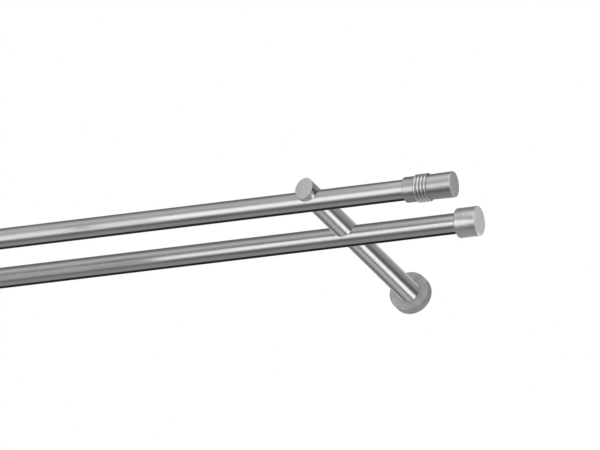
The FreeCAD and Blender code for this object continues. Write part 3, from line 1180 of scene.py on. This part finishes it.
@dataclass
class Studio:
    """Camera, floor, lamps and cards."""

    target: tuple[float, float, float] = (0.250, -0.170, -0.0065)
    azimuth: float = 23.504
    elevation: float = -22.702
    roll: float = 2.645
    distance: float = 14.0
    pan_right: float = 0.06977
    pan_up: float = 0.02215
    lens: float = 896.4
    sensor_width: float = 36.0
    sight: float = 200.0
    floor_drop: float = 6.5
    floor_size: float = 80.0
    floor_tone: float = 0.82
    floor_roughness: float = 0.9

    LAMPS = (
        Lamp("front_softbox", (-0.75, -2.75, -0.76), (0.28, -0.25, 0.0), (2.0, 1.8), 2.35),
        Lamp("back_strip", (1.75, 3.0, -1.43), (1.75, -0.15, -1.43), (1.9, 0.78), 2.45),
    )
    CARDS = (
        Card("card_below", (-0.5, -1.05, -1.6), (2.2, 0.92), 0.24, False),
        Card("card_below_right", (2.6, -0.6, -1.6), (4.0, 1.8), 0.25, False),
        Card("card_below_left", (-4.4, 0.25, -1.6), (4.4, 3.5), 0.25, False),
        Card("card_under", (-0.5, 0.53, -1.6), (2.2, 2.24), 0.70, False),
        Card("card_front_high", (-0.9, -2.15, 2.0), (2.6, 2.1), 1.4, False),
        Card("card_ceiling", (0.1, -0.04, 0.26), (2.6, 0.48), 0.5, False),
        Card("card_ceiling_back", (1.03, 0.85, 0.26), (1.16, 1.3), 0.64, False),
        Card("card_ends", (0.55, -0.46, 0.20), (0.38, 0.28), 2.0, False),
        Card("card_ends_low", (0.36, -0.71, 0.16), (0.36, 0.18), 1.7, False),
        Card("card_between", (-0.1175, -0.239, 0.0), (1.165, 0.0195), 0.2, True),
        Card("card_fade", (-0.26, -0.33, -0.031), (0.9, 0.052), 2.1, True),
        Card("card_spot", (0.115, -0.329, -0.031), (0.014, 0.052), 0.8, True),
        Card("card_flag", (-0.2, -0.225, -0.056), (0.71, 0.088), 0.8, True),
        Card("card_right", (1.95, 3.0, -0.18), (1.5, 1.4), 0.22, True),
        Card("card_line", (1.3, 3.0, -1.92), (1.2, 0.18), 0.1, True),
        Card("card_gap", (0.70, 2.99, -1.85), (0.30, 0.9), 0.0, True),
        Card("card_band", (-0.1, 3.0, -1.85), (1.2, 0.9), 1.15, True),
        Card("card_left", (-1.5, 3.0, -0.65), (1.1, 1.5), 0.3, True),
        Card("card_back_high", (-1.0, 3.0, 1.5), (1.6, 1.1), 0.3, True),
    )

    def axes(self) -> tuple[Vector, Vector, Vector]:
        """Right, up and backward directions of the camera."""
        angles = (self.azimuth, self.elevation, self.roll)
        around, above, roll = (math.radians(angle) for angle in angles)
        back = Vector((
            math.sin(around) * math.cos(above), -math.cos(around) * math.cos(above), math.sin(above)))
        level = Vector((math.cos(around), math.sin(around), 0.0))
        upright = back.cross(level)
        right = level * math.cos(roll) + upright * math.sin(roll)
        return right, back.cross(right), back

    def camera(self) -> None:
        """Place the camera where the photograph was taken from."""
        right, up, back = self.axes()
        data = bpy.data.cameras.new("camera")
        data.lens = self.lens
        data.sensor_width = self.sensor_width
        data.clip_end = self.sight
        camera = bpy.data.objects.new("camera", data)
        aim = Vector(self.target) + right * self.pan_right + up * self.pan_up
        turned_to = Matrix((right, up, back)).transposed().to_4x4()
        camera.matrix_world = Matrix.Translation(aim + back * self.distance) @ turned_to
        bpy.context.scene.collection.objects.link(camera)
        bpy.context.scene.camera = camera

    def world(self) -> None:
        """White all round, as background, in reflections and as a plain fill."""
        world = bpy.data.worlds.new("studio")
        bpy.context.scene.world = world
        world.use_nodes = True
        background = world.node_tree.nodes["Background"]
        background.inputs["Color"].default_value = grey(1.0)
        background.inputs["Strength"].default_value = 1.0

    def sheet(self, name: str, size: tuple[float, float], *moves: Matrix) -> Object:
        """Flat stage piece of a size, moved into place."""
        bm = bmesh.new()
        bmesh.ops.create_grid(bm, x_segments=1, y_segments=1, size=0.5)
        bmesh.ops.scale(bm, vec=(size[0], size[1], 1.0), verts=bm.verts[:])
        for move in moves:
            bmesh.ops.transform(bm, matrix=move, verts=bm.verts[:])
        piece = piece_from(bm, name)
        return piece

    def floor(self) -> None:
        """Pale floor far below the poles, which doesn't block a view from below."""
        floor = self.sheet("floor", (self.floor_size, self.floor_size), shift(z=-self.floor_drop))
        material, wiring, shader = new_material("floor")
        shader.inputs["Base Color"].default_value = grey(self.floor_tone)
        shader.inputs["Roughness"].default_value = self.floor_roughness
        shader.inputs["Specular IOR Level"].default_value = 0.0
        clear = wiring.add("ShaderNodeBsdfTransparent")
        mix = wiring.add("ShaderNodeMixShader")
        seen = wiring.add("ShaderNodeLightPath").outputs["Is Camera Ray"]
        behind = wiring.add("ShaderNodeNewGeometry").outputs["Backfacing"]
        under = wiring.math("MULTIPLY", seen, behind)
        for index, socket in enumerate((under, shader.outputs[0], clear.outputs[0])):
            wiring.feed(mix.inputs[index], socket)
        wiring.surface(mix.outputs[0])
        floor.data.materials.append(material)

    @staticmethod
    def hang(lamp: Lamp) -> None:
        """Hang a softbox, out of the camera's sight."""
        data = bpy.data.lights.new(lamp.name, "AREA")
        data.shape = "RECTANGLE"
        data.size, data.size_y = lamp.size
        data.energy = lamp.brightness * math.pi * lamp.size[0] * lamp.size[1]
        piece = bpy.data.objects.new(lamp.name, data)
        facing = Vector(lamp.facing) - Vector(lamp.centre)
        turned_to = facing.to_track_quat("-Z", "Z").to_matrix().to_4x4()
        piece.matrix_world = Matrix.Translation(lamp.centre) @ turned_to
        piece.visible_camera = False
        bpy.context.scene.collection.objects.link(piece)

    def stand(self, card: Card) -> None:
        """Stand or lay a card where only reflections see it."""
        moves = [turn("X", 90.0)] if card.upright else []
        piece = self.sheet(card.name, card.size, *moves, Matrix.Translation(card.centre))
        material, wiring, _ = new_material(card.name)
        glow = wiring.add("ShaderNodeEmission", Color=grey(card.tone), Strength=1.0)
        wiring.surface(glow.outputs[0])
        piece.data.materials.append(material)
        piece.visible_camera = False
        piece.visible_diffuse = False
        piece.visible_shadow = False
        piece.visible_transmission = False

    def build(self) -> None:
        """Set up the whole studio."""
        bpy.context.scene.view_settings.view_transform = "Standard"
        self.camera()
        self.world()
        self.floor()
        for lamp in self.LAMPS:
            self.hang(lamp)
        for card in self.CARDS:
            self.stand(card)


class CurtainPole:
    """The whole object: both tubes, their ends and the brackets."""

    def __init__(self) -> None:
        """Read the frame and build the shared groups."""
        self.groups = GroupKit()
        self.brackets = [Bracket(side) for side in Side]
        self.tubes = [Tube(each) for each in Place]
        self.finials = [Finial(side) for side in Side]
        self.caps = [Cap(side) for side in Side]

    def build(self) -> None:
        """Build every replaced piece and dress the others."""
        bracket_x = [bracket.x for bracket in self.brackets]
        for tube in self.tubes:
            name = f"{Slot.POLE.value}_{tube.place.value}"
            tube.build(tube.finish().material(self.groups, name), bracket_x)
        for pair in (self.finials, self.caps):
            metal = pair[0].finish().material(self.groups)
            for end_piece in pair:
                end_piece.build(metal)
        right = self.brackets[1]
        arm_metal = right.arm_finish().material(self.groups)
        plate_metal = right.plate_finish().material(self.groups)
        zinc = Metal(
            Slot.SCREW, tone=0.45, roughness=0.3, lay=Lay.ALONG_POLE, lathe_turned=True,
            line_width=0.15 * MM,
        ).material(self.groups)
        for bracket in self.brackets:
            bracket.arm(arm_metal)
            bracket.plate(plate_metal)
            bracket.bolt(zinc)
        self.dress_fixings(zinc)

    def dress_fixings(self, zinc: Material) -> None:
        """Dress the screws, nuts and stops, whose solids show as they are.

        Args:
            zinc: Finish of the steel fixings.
        """
        finishes = {Slot.SCREW: zinc, Slot.STOP: Plastic(Slot.STOP).material(self.groups)}
        for name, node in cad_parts.items():
            if node.hide_render:
                continue
            slot = Slot.STOP if "stop" in name else Slot.SCREW
            node.data.materials.clear()
            node.data.materials.append(finishes[slot])
            log.info("%s: keeps its solid", name)


def main() -> None:
    """Build the studio and the object."""
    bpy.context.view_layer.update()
    Studio().build()
    CurtainPole().build()
    bpy.context.view_layer.update()


if __name__ == "__main__":
    main()
